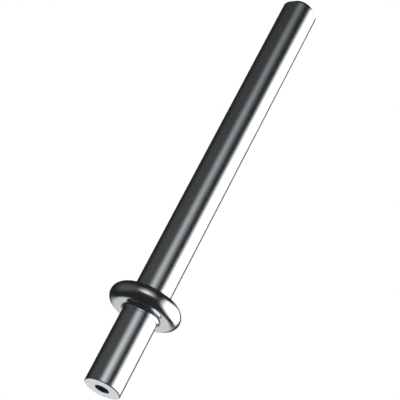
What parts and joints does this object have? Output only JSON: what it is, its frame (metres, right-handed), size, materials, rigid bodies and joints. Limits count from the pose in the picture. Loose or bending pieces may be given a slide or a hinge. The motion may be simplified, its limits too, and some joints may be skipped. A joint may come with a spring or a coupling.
{
  "type": "solder pin",
  "caption": "Turned solder pin: a straight post, a round-edged collar that seats on a circuit board, and a short shank with a blind riveting hole.",
  "frame": {"origin": "centre of the collar's seat, the flat face that lies on the board's upper side", "axes": "+Z along the pin's axis, up the long post and away from the board; the drilled shank points down -Z; the pin is round, so X and Y are free"},
  "size_m": [0.002, 0.002, 0.0128],
  "materials": {
    "plated_metal": "bright nickel or tin plating over turned brass, polished like a mirror"
  },
  "bodies": {
    "root": {"pin": "plated_metal"}
  },
  "joints": []
}
